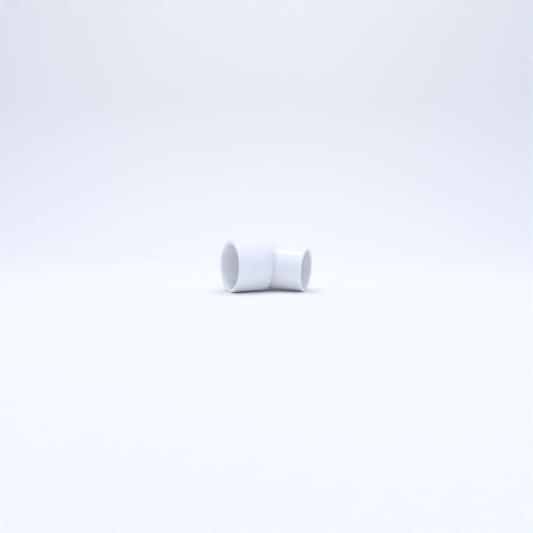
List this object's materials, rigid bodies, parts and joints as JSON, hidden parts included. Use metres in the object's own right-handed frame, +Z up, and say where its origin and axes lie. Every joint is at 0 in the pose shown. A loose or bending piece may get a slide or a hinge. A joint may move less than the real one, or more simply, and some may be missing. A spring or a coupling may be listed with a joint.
{
  "type": "pipe bend",
  "caption": "White plastic 45-degree street bend for solvent-welded pipe: a belled socket at one end, a mitred neck and a plain spigot at the other.",
  "frame": {"origin": "on the socket's axis where its lead-in ends and the bore begins, 1 mm inside the mouth", "axes": "the fitting lies as it rests on a table, with +Z up; the socket opens towards -X, its axis tipped up 1.6 degrees by the bell's taper, and the spigot leaves between +X and -Y"},
  "size_m": [0.0963, 0.0727, 0.0564],
  "materials": {
    "pvc_white": "glossy moulded PVC",
    "cement": "fused PVC bead, slightly uneven"
  },
  "bodies": {
    "root": {"socket_bell": "pvc_white", "bend_stub": "pvc_white", "spigot_leg": "pvc_white", "bell_cement_fillet": "cement", "mitre_weld_bead": "cement"}
  },
  "joints": []
}
